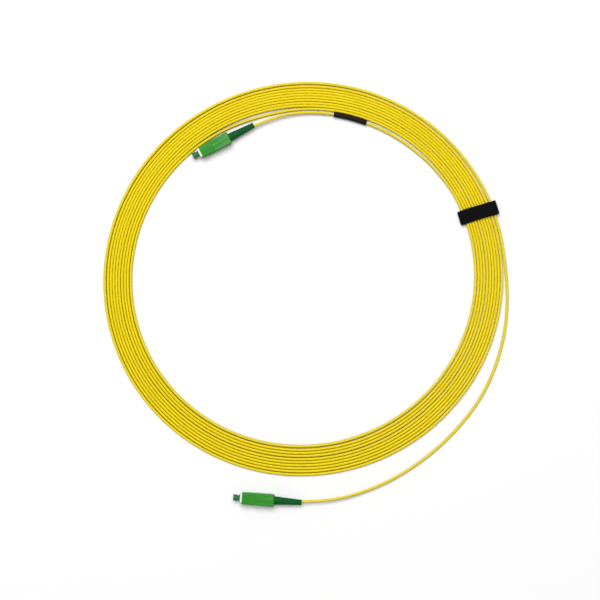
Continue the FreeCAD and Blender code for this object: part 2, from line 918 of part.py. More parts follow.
def make_plug(tag):
    makers = {
        "grip": make_grip,
        "frame": make_frame,
        "ferrule": make_ferrule,
        "ferrule_hub": make_hub,
        "fibre": make_fibre,
        "spring": make_spring,
        "rear_body": make_rear_body,
        "yarn": make_yarn,
        "crimp_sleeve": make_crimp_sleeve,
        "boot": make_boot,
        "dust_cap": make_cap,
    }
    pieces = []
    for name, make in makers.items():
        piece = make(f"{name}_{tag}")
        piece.Placement = plug_placement(tag)
        pieces.append(piece)
    return pieces


pieces = make_plug("a") + make_plug("b")
coil, coil_length = make_coil("cord_coil")
tails, tail_length = make_tails()
pieces += [coil] + tails + [make_strap("tie_strap")]
document.recompute()

plug_reach = post_rear.value - ferrule_tip.value
total = coil_length + tail_length + 2 * plug_reach
print(f"cord between the jacket ends {coil_length + tail_length:.0f} mm, tip to tip {total:.0f} mm")

# Every object has to be sound before anything is written.
for item in document.Objects:
    if "Invalid" in item.State or "Error" in item.State:
        raise RuntimeError(f"{item.Label} failed: {item.State}")
for piece in pieces:
    if piece.Shape.isNull() or not piece.Shape.isValid():
        raise RuntimeError(f"{piece.Label} has no valid shape")
    if len(piece.Shape.Solids) != 1:
        raise RuntimeError(f"{piece.Label} is not one solid")

os.makedirs("parts", exist_ok=True)
whole = FreeCAD.BoundBox()
for piece in pieces:
    piece.Shape.exportStep(f"parts/{piece.Label}.step")
    whole.add(piece.Shape.BoundBox)
print(f"pieces {len(pieces)}, box {whole.XLength:.1f} x {whole.YLength:.1f} x {whole.ZLength:.1f} mm")
print(f"box centre {whole.Center.x:.2f}, {whole.Center.y:.2f}, lowest {whole.ZMin:.3f}")
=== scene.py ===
import math
import random
import bmesh
import bpy
from mathutils import Matrix, Vector, noise


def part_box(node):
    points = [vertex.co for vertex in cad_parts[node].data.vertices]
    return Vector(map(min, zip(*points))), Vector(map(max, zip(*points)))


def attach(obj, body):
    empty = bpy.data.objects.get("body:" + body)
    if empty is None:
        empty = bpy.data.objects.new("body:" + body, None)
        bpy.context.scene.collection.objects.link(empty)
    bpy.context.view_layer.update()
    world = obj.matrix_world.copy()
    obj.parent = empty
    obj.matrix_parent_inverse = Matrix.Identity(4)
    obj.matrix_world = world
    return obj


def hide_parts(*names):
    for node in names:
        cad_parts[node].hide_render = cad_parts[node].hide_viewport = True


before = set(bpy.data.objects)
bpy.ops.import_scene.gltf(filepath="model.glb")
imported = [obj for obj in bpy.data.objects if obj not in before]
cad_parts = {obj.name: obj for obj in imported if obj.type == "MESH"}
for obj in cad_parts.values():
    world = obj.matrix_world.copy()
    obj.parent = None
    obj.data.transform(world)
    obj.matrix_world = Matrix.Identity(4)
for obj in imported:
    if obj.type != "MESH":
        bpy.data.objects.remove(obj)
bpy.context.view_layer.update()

scene = bpy.context.scene
mm = 0.001


# Camera straight above the table

cameraSet = {
    "middle": (-4.5 * mm, -5.8 * mm),
    "height": 1.6,
    "viewWidth": 465 * mm,
    "sensor": 36.0,
}


def makeCamera():
    data = bpy.data.cameras.new("camera")
    data.sensor_width = cameraSet["sensor"]
    data.lens = cameraSet["sensor"] * cameraSet["height"] / cameraSet["viewWidth"]
    data.clip_end = 10
    camera = bpy.data.objects.new("camera", data)
    camera.location = (*cameraSet["middle"], cameraSet["height"])
    scene.collection.objects.link(camera)
    scene.camera = camera


makeCamera()
print("stage: camera")


# Cord: from plug a along the inner tail, round the coil and out to plug b

cordSet = {
    "diameter": 2.0 * mm,
    "turns": 10,
    "radius": 142.7 * mm,
    "oval": 2.0 * mm,
    "ovalBearing": math.radians(18.6),
    "pitch": 2.18 * mm,
    "looser": 0.29 * mm,            # the strands lie looser at the bottom of the ring
    "looseBearing": math.radians(278.0),
    "tieBearing": math.radians(21.5),
    "middle": Vector((-1.4 * mm, 10.5 * mm, 0)),
    "lift": 1.35 * mm,              # the strap's lower layer under the strands
    "pointsPerTurn": 24,
    "resolution": 5,
    "tightness": 0.055,
    "gapStart": 0.2,                # turns over which the first gap opens
    # Wider gaps between neighbours: turn, reach in turns, share of the pitch
    "gaps": [(0.3, 0.35, 0.2), (3.2, 0.5, 0.12), (7.9, 0.35, 0.1), (8.85, 0.4, 0.26)],
    # One strand that strays inward beside the boot: turn, reach in turns, distance
    "stray": (0.762, 0.034, -1.9 * mm),
}

# The tails' control points: bearing, distance from the guide circle, height
guideRadius = 143.0 * mm
innerTail = [
    (87.5, -12.9, 3.5),
    (73.5, -12.4, 2.5),
    (59.5, -11.5, 2.0),
    (45.5, -10.4, 2.0),
    (34.0, -9.6, 2.25),
]
outerTail = [
    (5.0, 13.4, 2.1),
    (-7.5, 16.6, 1.6),
    (-20.0, 20.0, 1.2),
    (-33.0, 23.0, 1.1),
    (-46.0, 24.0, 1.1),
    (-59.0, 26.0, 1.5),
    (-72.0, 28.5, 3.0),
]
tieRun = {"inner": 11.0 * mm, "outer": 14.0 * mm}

# Plugs: where the grip's front edge lies and which way the cord leaves
plugSet = {
    "a": {"bearing": 129.2, "offset": -16.8, "heading": 27.3},
    "b": {"bearing": 254.2, "offset": 32.9, "heading": -4.3},
    "height": 4.8 * mm,
    "jacketEnd": 23.0 * mm,
    "straight": 36.8 * mm,
}


def lean(point):
    bearing = cordSet["tieBearing"]
    angle = math.asin(cordSet["lift"] / 2 / guideRadius)
    turned = Matrix.Rotation(angle, 3, Vector((math.sin(bearing), -math.cos(bearing), 0))) @ point
    return cordSet["middle"] + turned + Vector((0, 0, (cordSet["diameter"] + cordSet["lift"]) / 2))


# How much wider or tighter than the pitch the gap outside this strand is
def gapShare(turn):
    wide = 0
    for place, reach, share in cordSet["gaps"]:
        wide += share * math.exp(-((turn - place) / reach) ** 2)
    return (wide - cordSet["tightness"]) * min(1, turn / cordSet["gapStart"])


def flatCoilPoint(turn):
    bearing = cordSet["tieBearing"] - 2 * math.pi * turn
    oval = cordSet["oval"] * math.cos(2 * (bearing - cordSet["ovalBearing"]))
    loose = (0.5 + 0.5 * math.cos(bearing - cordSet["looseBearing"])) ** 1.5
    pitch = cordSet["pitch"] + cordSet["looser"] * loose
    whole = math.floor(turn)
    gaps = sum(gapShare(turn - whole + number) for number in range(whole))
    place, reach, distance = cordSet["stray"]
    stray = distance * math.exp(-((turn - place) / reach) ** 2)
    radius = cordSet["radius"] + oval + pitch * (turn - cordSet["turns"] / 2 + gaps) + stray
    return Vector((radius * math.cos(bearing), radius * math.sin(bearing), 0))


def coilHeading(turn):
    step = 1e-4
    return (flatCoilPoint(turn + step) - flatCoilPoint(turn - step)).normalized()


def besideCoil(bearing, offset, height):
    angle = math.radians(bearing)
    reach = guideRadius + offset * mm
    return cordSet["middle"] + Vector((reach * math.cos(angle), reach * math.sin(angle), height * mm))


def plugMatrix(tag):
    plug = plugSet[tag]
    front = besideCoil(plug["bearing"], plug["offset"], 0)
    front.z = plugSet["height"]
    return Matrix.Translation(front) @ Matrix.Rotation(math.radians(plug["heading"]), 4, "Z")


def onPlug(tag, along):
    return plugMatrix(tag) @ Vector((along, 0, 0))


def cordPoints():
    perTurn = cordSet["pointsPerTurn"]
    spread = 1 / (0.75 + 0.25 * math.cos(2 * math.pi / perTurn))  # the spline cuts inside its points
    end, bend = plugSet["jacketEnd"], plugSet["jacketEnd"] + plugSet["straight"]
    points = [onPlug("a", end), onPlug("a", bend)]
    points += [besideCoil(*place) for place in innerTail]
    points.append(lean(flatCoilPoint(0) - coilHeading(0) * tieRun["inner"]))
    for number in range(cordSet["turns"] * perTurn):
        points.append(lean(flatCoilPoint((number + 0.5) / perTurn) * spread))
    last = cordSet["turns"]
    points.append(lean(flatCoilPoint(last) + coilHeading(last) * tieRun["outer"]))
    points += [besideCoil(*place) for place in outerTail]
    points += [onPlug("b", bend), onPlug("b", end)]
    return points


def makeCord():
    curve = bpy.data.curves.new("cord", "CURVE")
    curve.dimensions = "3D"
    spline = curve.splines.new("NURBS")
    points = cordPoints()
    spline.points.add(len(points) - 1)
    for target, point in zip(spline.points, points):
        target.co = (*point, 1)
        target.radius = cordSet["diameter"] / 2  # times a bevel depth of one metre
    spline.order_u = 3
    spline.use_endpoint_u = True
    curve.resolution_u = cordSet["resolution"]
    piece = bpy.data.objects.new("cord", curve)
    scene.collection.objects.link(piece)
    centreLine = [vertex.co.copy() for vertex in bpy.data.meshes.new_from_object(piece).vertices]
    curve.bevel_depth = 1
    curve.bevel_resolution = 4
    curve.use_fill_caps = True
    return piece, centreLine


cord, cordLine = makeCord()
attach(cord, "root")
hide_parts("cord_coil", "cord_tail_a", "cord_tail_b")
print("stage: cord of", round(sum((b - a).length for a, b in zip(cordLine, cordLine[1:])), 3), "m")


# Helpers for meshes

def newPiece(name, mesh, body, slot, *nodes):
    piece = bpy.data.objects.new(name, mesh)
    scene.collection.objects.link(piece)
    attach(piece, body)
    if nodes:
        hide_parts(*nodes)
    return piece


def smooth(mesh, angle):
    mesh.polygons.foreach_set("use_smooth", [True] * len(mesh.polygons))
    mesh.set_sharp_from_angle(angle=math.radians(angle))


# A mesh with its doubled points joined, its faces turned outward and its shading smooth
def cleanMesh(name, vertices, faces, angle):
    mesh = bpy.data.meshes.new(name)
    mesh.from_pydata([tuple(vertex) for vertex in vertices], [], faces)
    work = bmesh.new()
    work.from_mesh(mesh)
    bmesh.ops.remove_doubles(work, verts=work.verts, dist=1e-7)
    bmesh.ops.recalc_face_normals(work, faces=work.faces)
    work.to_mesh(mesh)
    work.free()
    smooth(mesh, angle)
    return mesh


# Rings of points, each joined to the next; a closed row joins the last to the first
def ringFaces(rings, count, closed):
    faces = []
    for number in range(rings if closed else rings - 1):
        here, there = number * count, (number + 1) % rings * count
        for step in range(count):
            after = (step + 1) % count
            faces.append((here + step, here + after, there + after, there + step))
    return faces


# An outline turned about the plug's axis; each corner is a distance along it and a radius
def turned(name, outline, tag, sides=48):
    place = plugMatrix(tag)
    vertices = []
    for side in range(sides):
        angle = 2 * math.pi * side / sides
        for along, radius in outline:
            point = Vector((along, radius * math.cos(angle), radius * math.sin(angle)))
            vertices.append(place @ (point * mm))
    return cleanMesh(name, vertices, ringFaces(sides, len(outline), True), 50)


# Rounds each corner of an outline by its own edge
def rounded(corners, steps=4):
    outline = []
    for number, (along, radius, edge) in enumerate(corners):
        here = Vector((along, radius))
        before = Vector(corners[number - 1][:2]) - here
        after = Vector(corners[(number + 1) % len(corners)][:2]) - here
        if edge <= 0:
            outline.append(tuple(here))
            continue
        reach = min(edge, before.length * 0.45, after.length * 0.45)
        start = here + before.normalized() * reach
        end = here + after.normalized() * reach
        for step in range(steps + 1):
            share = step / steps
            bend = start * (1 - share) ** 2 + here * 2 * share * (1 - share) + end * share ** 2
            outline.append(tuple(bend))
    return outline


# Grips and plug frames: the model's own shapes with rounded edges

edgeSet = {
    "grip": 0.18 * mm,
    "frame": 0.1 * mm,
    # Low rails on the grip's back: start and end along the plug,
    # middle and half width across it, bottom and top
    "rails": [
        (10.45, 11.15, 0.0, 4.1, 3.6, 4.12),
        (11.9, 23.4, 0.0, 0.42, 4.2, 4.62),
        (12.6, 22.8, -2.75, 0.28, 3.7, 4.06),
        (12.6, 22.8, 2.75, 0.28, 3.7, 4.06),
    ],
}


def addRail(work, place, rail):
    start, end, middle, half, low, high = rail
    slope = (high - low) * 0.5
    narrow = half * 0.7
    corners = []
    for front, back, side, level in ((start, end, half, low), (start + slope, end - slope, narrow, high)):
        for x, y in ((front, -side), (back, -side), (back, side), (front, side)):
            corners.append(Vector((x, middle + y, level)))
    points = [work.verts.new(place @ (corner * mm)) for corner in corners]
    for face in ((3, 2, 1, 0), (4, 5, 6, 7), (0, 1, 5, 4), (1, 2, 6, 5), (2, 3, 7, 6), (3, 0, 4, 7)):
        work.faces.new([points[number] for number in face])


def softened(node, name, body, slot, edge, tag, rails=()):
    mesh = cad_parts[node].data.copy()
    work = bmesh.new()
    work.from_mesh(mesh)
    bmesh.ops.remove_doubles(work, verts=work.verts, dist=1e-6)
    bmesh.ops.dissolve_limit(work, angle_limit=math.radians(1), verts=work.verts, edges=work.edges)
    for rail in rails:
        addRail(work, plugMatrix(tag), rail)
    work.to_mesh(mesh)
    work.free()
    mesh.materials.clear()
    piece = newPiece(name, mesh, body, slot, node)
    bevel = piece.modifiers.new("edges", "BEVEL")
    bevel.width = edge
    bevel.segments = 3
    bevel.limit_method = "ANGLE"
    bevel.angle_limit = math.radians(25)
    bevel.harden_normals = True
    smooth(mesh, 35)
    return piece


# Boots: straight behind the grip, then tapered with the grooves of a strain relief

bootSet = {
    "front": 17.5,
    "straightEnd": 28.0,
    "end": 46.1,
    "radius": 3.1,
    "endRadius": 2.1,
    "bore": 1.15,
    "frontBore": 2.6,
    "edge": 0.25,
    "endEdge": 0.7,
    "groove": 0.24,
    "grooveWidth": 0.55,
    "groovePitch": 2.05,
    "grooveCount": 7,
    "endCollar": 2.2,
}


def bootRadius(along):
    share = max(0, along - bootSet["straightEnd"]) / (bootSet["end"] - bootSet["straightEnd"])
    return bootSet["radius"] + (bootSet["endRadius"] - bootSet["radius"]) * share


def bootOutline():
    edge = bootSet["edge"]
    half = bootSet["grooveWidth"] / 2
    corners = [
        (bootSet["front"], bootSet["radius"], edge),
        (bootSet["straightEnd"], bootSet["radius"], edge * 4),
    ]
    run = bootSet["groovePitch"] * (bootSet["grooveCount"] - 1)
    first = bootSet["end"] - bootSet["endCollar"] - run
    for number in range(bootSet["grooveCount"]):
        middle = first + bootSet["groovePitch"] * number
        for along, deep in ((-1.5, 0), (-1, bootSet["groove"]), (1, bootSet["groove"]), (1.5, 0)):
            place = middle + half * along
            corners.append((place, bootRadius(place) - deep, edge / 2))
    corners += [
        (bootSet["end"], bootSet["endRadius"], bootSet["endEdge"]),
        (bootSet["end"], bootSet["bore"], 0.1),
        (bootSet["front"] + 9, bootSet["bore"], 0),
        (bootSet["front"] + 8, bootSet["frontBore"], 0),
        (bootSet["front"], bootSet["frontBore"], 0.1),
    ]
    return rounded(corners)


def makeBoot(tag):
    name = f"boot{tag.upper()}"
    return newPiece(name, turned(name, bootOutline(), tag), "root", "boot", f"boot_{tag}")


# Dust caps: barrel on the ferrule, collar, waist and a dished knob

capSet = {
    "back": -1.62,
    "length": 5.2,
    "collar": 0.9,
    "waist": 1.1,
    "radius": 2.4,
    "waistRadius": 1.85,
    "barrelRadius": 2.1,
    "barrelLength": 5.8,
    "bore": 1.27,
    "boreFront": -2.75,
    "edge": 0.3,
}


def capOutline():
    edge, radius = capSet["edge"], capSet["radius"]
    back = capSet["back"]
    front = back - capSet["length"]
    collar = back - capSet["collar"]
    waist = collar - capSet["waist"]
    barrelEnd = back + capSet["barrelLength"]
    return rounded([
        (front, 0, 0),
        (front, radius * 0.55, edge),
        (front + 0.15, radius * 0.62, edge / 2),
        (front, radius * 0.72, edge / 2),
        (front, radius, edge * 1.5),
        (waist, radius, edge),
        (waist, capSet["waistRadius"], edge),
        (collar, capSet["waistRadius"], edge),
        (collar, radius, edge / 2),
        (back, radius, edge / 2),
        (back, capSet["barrelRadius"], 0.1),
        (barrelEnd, capSet["barrelRadius"], edge),
        (barrelEnd, capSet["bore"], 0.1),
        (capSet["boreFront"], capSet["bore"], 0.1),
        (capSet["boreFront"], 0, 0),
    ])


def makeCap(tag):
    name = f"cap{tag.upper()}"
    return newPiece(name, turned(name, capOutline(), tag), f"cap_{tag}", "cap", f"dust_cap_{tag}")


# Strap: one band wound round the strands, its free end lapped over the top towards the inside

strapSet = {
    "bearing": math.radians(17.5),
    "nudge": (0.9 * mm, -1.5 * mm),
    "width": 10.8 * mm,
    "thickness": 1.2 * mm,
    "innerHalf": 14.2 * mm,
    "headroom": 2.3 * mm,
    "corner": 0.8 * mm,
    "edge": 0.35 * mm,
    "lapSeat": 0.8,
    "lapEnd": -12.3 * mm,
    "underEnd": 11.5 * mm,
    "endLift": 0.35 * mm,
    "skew": 0.45 * mm,
    "sway": 0.06 * mm,
    "fray": 0.06 * mm,
    "frayScale": 900,
    "underSteps": 36,
    "layerSteps": 40,
    "cornerSteps": 8,
    "columns": 16,
    "loops": 2600,
    "loopHeight": 0.26 * mm,
    "loopReach": 0.2 * mm,
    "thread": 0.022 * mm,
    "loopSteps": 6,
}


def strapMatrix():
    low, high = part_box("tie_strap")
    middle = Vector(((low[0] + high[0]) / 2, (low[1] + high[1]) / 2, 0))
    middle += Vector((*strapSet["nudge"], 0))
    return Matrix.Translation(middle) @ Matrix.Rotation(strapSet["bearing"], 4, "Z")


# The band's middle line: along the strap's bearing, up, and sideways shift of the upper layer
def strapPath():
    thickness = strapSet["thickness"]
    half = strapSet["innerHalf"] + thickness / 2
    low = thickness / 2
    high = low + strapSet["headroom"] + thickness
    over = high + thickness * strapSet["lapSeat"]
    corner = strapSet["corner"] + thickness / 2
    path = []

    def line(start, end, steps):
        for step in range(steps):
            path.append(Vector(start).lerp(Vector(end), step / steps))

    def arc(centre, start):
        for step in range(strapSet["cornerSteps"]):
            angle = math.radians(start + 90 * step / strapSet["cornerSteps"])
            path.append(Vector(centre) + Vector((math.cos(angle), math.sin(angle))) * corner)

    line((strapSet["underEnd"], high), (corner - half, high), strapSet["underSteps"])
    arc((corner - half, high - corner), 90)
    arc((corner - half, low + corner), 180)
    line((corner - half, low), (half - corner, low), strapSet["layerSteps"])
    arc((half - corner, low + corner), 270)
    arc((half - corner, over - corner), 0)
    line((half - corner, over), (strapSet["lapEnd"], over), strapSet["layerSteps"])
    path.append(Vector((strapSet["lapEnd"], over)))
    shifts = []
    for number, point in enumerate(path):
        share = (half - point.x) / (2 * half)
        onTop = number > len(path) - strapSet["layerSteps"] - 2
        shifts.append(strapSet["skew"] * (share * 1.6 - 0.6) if onTop else 0)
        if onTop:
            point.y += strapSet["endLift"] * max(0, (share - 0.8) / 0.12) ** 2
    return path, shifts


def strapNormals(path):
    normals = []
    for number in range(len(path)):
        way = (path[min(number + 1, len(path) - 1)] - path[max(number - 1, 0)]).normalized()
        normals.append(Vector((way.y, -way.x)))
    return normals


# The band's section: place across its width, place through its thickness
def strapSection():
    half = strapSet["width"] / 2
    deep = strapSet["thickness"] / 2
    edge = strapSet["edge"]
    count = strapSet["columns"]
    top = [((half - edge) * (2 * step / count - 1), deep) for step in range(count + 1)]
    side = [(half - edge * 0.3, deep * 0.72), (half, 0), (half - edge * 0.3, -deep * 0.72)]
    return top + side + [(-x, -y) for x, y in top] + [(-x, -y) for x, y in side]


def makeStrap():
    place = strapMatrix()
    path, shifts = strapPath()
    section = strapSection()
    scale = strapSet["frayScale"]
    vertices = []
    for number, (point, normal) in enumerate(zip(path, strapNormals(path))):
        sway = strapSet["sway"] * (math.sin(number * 0.11) + 0.5 * math.sin(number * 0.37))
        fromEnd = min(1, (len(path) - 1 - number) / 3)
        for across, deep in section:
            worn = strapSet["fray"] * noise.noise(Vector((number * 0.4, across * scale, deep * scale)))
            flat = point + normal * (deep + worn)
            wide = across * (0.93 + 0.07 * fromEnd + worn * 60)
            vertices.append(place @ Vector((flat.x, wide + sway + shifts[number], flat.y)))
    faces = ringFaces(len(path), len(section), False)
    last = (len(path) - 1) * len(section)
    faces.append(tuple(range(len(section))))
    faces.append(tuple(range(last, last + len(section))))
    return newPiece("strap", cleanMesh("strap", vertices, faces, 40), "root", "strap", "tie_strap")


# One small loop of thread that stands on the strap's outer face
def loopRings(foot, along, normal, across, turn, reach, height):
    rings = []
    thread = strapSet["thread"]
    for step in range(strapSet["loopSteps"] + 1):
        angle = math.pi * step / strapSet["loopSteps"]
        out = reach * math.cos(angle)
        flat = foot + along * (out * math.cos(turn)) + normal * (height * math.sin(angle) - thread)
        centre = Vector((flat.x, across + out * math.sin(turn), flat.y))
        aside = Vector((-along.x * math.sin(turn), math.cos(turn), -along.y * math.sin(turn)))
        upward = Vector((normal.x, 0, normal.y))
        for corner in range(3):
            tilt = 2 * math.pi * corner / 3
            rings.append(centre + (aside * math.cos(tilt) + upward * math.sin(tilt)) * thread)
    return rings


def makePile():
    place = strapMatrix()
    path, shifts = strapPath()
    normals = strapNormals(path)
    chance = random.Random(7)
    half = strapSet["width"] / 2 - strapSet["edge"]
    vertices, faces = [], []
    for _ in range(strapSet["loops"]):
        number = chance.randrange(len(path) - 2)
        across = chance.uniform(-half, half)
        turn = chance.uniform(0, math.pi)
        height = strapSet["loopHeight"] * chance.uniform(0.5, 1)
        reach = strapSet["loopReach"] * chance.uniform(0.6, 1)
        share = chance.random()
        normal = normals[number]
        under = number < strapSet["underSteps"]
        hidden = under and path[number].x > strapSet["lapEnd"] - 0.5 * mm
        if hidden or path[number].y < strapSet["thickness"]:
            continue
        foot = path[number].lerp(path[number + 1], share) + normal * strapSet["thickness"] / 2
        along = Vector((normal.y, -normal.x))
        first = len(vertices)
        rings = loopRings(foot, along, normal, across + shifts[number], turn, reach, height)
        vertices += [place @ point for point in rings]
        for face in ringFaces(strapSet["loopSteps"] + 1, 3, False):
            faces.append(tuple(first + corner for corner in face))
    return newPiece("strapPile", cleanMesh("strapPile", vertices, faces, 180), "root", "strap")


# Marker sleeve, threaded on the cord's own line

sleeveSet = {
    "length": 26.0 * mm,
    "nudge": 4.0 * mm,              # towards the plug
    "radius": 2.0 * mm,
    "bore": 1.12 * mm,
    "lip": 0.25 * mm,
    "sides": 40,
    "crease": 0.02,
}


def sleeveLine():
    low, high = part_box("marker_sleeve")
    middle = (Vector(low) + Vector(high)) / 2
    inner = cordLine[:len(cordLine) // 12]
    nearest = min(range(len(inner)), key=lambda number: (inner[number] - middle).length)
    halves = []
    for step in (-1, 1):
        number, run, half = nearest, 0, []
        length = sleeveSet["length"] / 2 - step * sleeveSet["nudge"]
        while run < length:
            stretch = inner[number + step] - inner[number]
            share = min(1, (length - run) / stretch.length)
            half.append(inner[number] + stretch * share)
            run += stretch.length * share + 1e-9
            number += step
        halves.append(half)
    return halves[0][::-1] + [inner[nearest]] + halves[1]


def makeSleeve():
    line = sleeveLine()
    lip, bore, outer = sleeveSet["lip"], sleeveSet["bore"], sleeveSet["radius"]
    stations = []
    for number, point in enumerate(line):
        way = (line[min(number + 1, len(line) - 1)] - line[max(number - 1, 0)]).normalized()
        stations.append((point, way))
    (first, firstWay), (last, lastWay) = stations[0], stations[-1]
    outline = [
        (first, firstWay, bore),
        (first, firstWay, outer - lip),
        (first + firstWay * lip, firstWay, outer),
    ]
    outline += [(point, way, outer) for point, way in stations[1:-1]]
    outline += [
        (last - lastWay * lip, lastWay, outer),
        (last, lastWay, outer - lip),
        (last, lastWay, bore),
    ]
    outline += [(point, way, bore) for point, way in reversed(stations[1:-1])]
    vertices = []
    for number, (point, way, radius) in enumerate(outline):
        aside = way.cross(Vector((0, 0, 1))).normalized()
        upward = aside.cross(way)
        for side in range(sleeveSet["sides"]):
            angle = 2 * math.pi * side / sleeveSet["sides"]
            around = aside * math.cos(angle) + upward * math.sin(angle)
            place = Vector((number * 0.35, math.cos(angle) * 1.6, math.sin(angle) * 1.6))
            crease = sleeveSet["crease"] * noise.noise(place) if radius > bore else 0
            vertices.append(point + around * radius * (1 + crease))
    faces = ringFaces(len(outline), sleeveSet["sides"], True)
    return newPiece("sleeve", cleanMesh("sleeve", vertices, faces, 60), "root", "sleeve", "marker_sleeve")


boots, caps, grips, noses = {}, {}, {}, {}
for tag in "ab":
    side = tag.upper()
    grip = f"grip_{tag}"
    boots[tag] = makeBoot(tag)
    caps[tag] = makeCap(tag)
    grips[tag] = softened(grip, f"grip{side}", grip, "grip", edgeSet["grip"], tag, edgeSet["rails"])
    noses[tag] = softened(f"frame_{tag}", f"nose{side}", "root", "plug_frame", edgeSet["frame"], tag)
strap = makeStrap()
pile = makePile()
sleeve = makeSleeve()
print("stage: pieces")


# Everything that is on the cord, gathered in a list

insideFinish = {
    "ferrule": "ceramic",
    "ferrule_hub": "hubMetal",
    "fibre": "buffer",
    "spring": "steel",
    "rear_body": "plugFrame",
    "yarn": "yarn",
    "crimp_sleeve": "crimpMetal",
}


def onCord():
    found = [sleeve, strap]
    for tag in "ab":
        found += [boots[tag], caps[tag], grips[tag], noses[tag]]
        found += [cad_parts[f"{name}_{tag}"] for name in insideFinish]
    return found


onCord()


# Materials: linear colours, scales in waves per metre, grain depth in metres

finishSet = {
    "jacket": {
        "base": (0.88, 0.70, 0.004),
        "second": (0.80, 0.60, 0.002),
        "patchScale": 45,
        "patch": 0.55,
        "rough": (0.38, 0.52),
        "grainScale": 2600,
        "grain": 0.00003,
        "shader": {"Specular IOR Level": 0.18},
    },
    "grip": {
        "base": (0.026, 0.285, 0.012),
        "second": (0.018, 0.215, 0.008),
        "patchScale": 150,
        "patch": 0.7,
        "rough": (0.26, 0.42),
        "grainScale": 5200,
        "grain": 0.00001,
        "shader": {"Specular IOR Level": 0.2, "Coat Weight": 0.06, "Coat Roughness": 0.2},
    },
    "plugFrame": {
        "base": (0.78, 0.84, 0.72),
        "second": (0.68, 0.74, 0.62),
        "patchScale": 200,
        "patch": 0.4,
        "rough": (0.35, 0.5),
        "grainScale": 4200,
        "grain": 0.00001,
    },
    "boot": {
        "base": (0.001, 0.125, 0.024),
        "second": (0.001, 0.055, 0.010),
        "patchScale": 420,
        "patch": 0.9,
        "rough": (0.5, 0.68),
        "grainScale": 6500,
        "grain": 0.00004,
        "shader": {"Specular IOR Level": 0.12},
    },
    "cap": {
        "base": (0.010, 0.15, 0.035),
        "second": (0.006, 0.10, 0.022),
        "patchScale": 260,
        "patch": 0.6,
        "rough": (0.36, 0.5),
        "grainScale": 5200,
        "grain": 0.00002,
        "shader": {"Specular IOR Level": 0.35},
    },
    "strap": {
        "base": (0.0018, 0.0018, 0.0024),
        "second": (0.0045, 0.0045, 0.0055),
        "patchScale": 900,
        "patch": 0.9,
        "rough": (0.75, 0.95),
        "grainScale": 9000,
        "grain": 0.00012,
        "shader": {"Specular IOR Level": 0.08},
    },
    "pile": {
        "base": (0.0010, 0.0010, 0.0014),
        "second": (0.002, 0.002, 0.0026),
        "patchScale": 700,
        "patch": 0.9,
        "rough": (0.5, 0.7),
        "grainScale": 9000,
        "grain": 0.00001,
        "shader": {"Specular IOR Level": 0.03},
    },
    "sleeve": {
        "base": (0.0012, 0.0012, 0.0015),
        "second": (0.003, 0.003, 0.0036),
        "patchScale": 300,
        "patch": 0.6,
        "rough": (0.3, 0.5),
        "grainScale": 3800,
        "grain": 0.00003,
        "shader": {"Specular IOR Level": 0.1},
    },
    "ceramic": {
        "base": (0.86, 0.85, 0.80),
        "second": (0.80, 0.78, 0.72),
        "patchScale": 300,
        "patch": 0.3,
        "rough": (0.08, 0.16),
        "grainScale": 4000,
        "grain": 0.000002,
        "shader": {"IOR": 1.9},
    },
    "hubMetal": {
        "base": (0.62, 0.60, 0.55),
        "second": (0.50, 0.48, 0.43),
        "patchScale": 400,
        "patch": 0.5,
        "rough": (0.22, 0.38),
        "grainScale": 5000,
        "grain": 0.000006,
        "shader": {"Metallic": 1.0},
    },
    "steel": {
        "base": (0.55, 0.55, 0.56),
        "second": (0.42, 0.42, 0.44),
        "patchScale": 500,
        "patch": 0.5,
        "rough": (0.25, 0.4),
        "grainScale": 6000,
        "grain": 0.000006,
        "shader": {"Metallic": 1.0},
    },
    "crimpMetal": {
        "base": (0.55, 0.42, 0.20),
        "second": (0.42, 0.32, 0.15),
        "patchScale": 400,
        "patch": 0.6,
        "rough": (0.3, 0.5),
        "grainScale": 5000,
        "grain": 0.00001,
        "shader": {"Metallic": 1.0},
    },
    "buffer": {
        "base": (0.82, 0.82, 0.80),
        "second": (0.72, 0.72, 0.70),
        "patchScale": 300,
        "patch": 0.4,
        "rough": (0.35, 0.5),
        "grainScale": 4000,
        "grain": 0.000004,
    },
    "yarn": {
        "base": (0.72, 0.52, 0.12),
        "second": (0.55, 0.38, 0.07),
        "patchScale": 2500,
        "patch": 0.9,
        "rough": (0.5, 0.75),
        "grainScale": 9000,
        "grain": 0.00004,
        "shader": {"Sheen Weight": 0.3},
    },
}


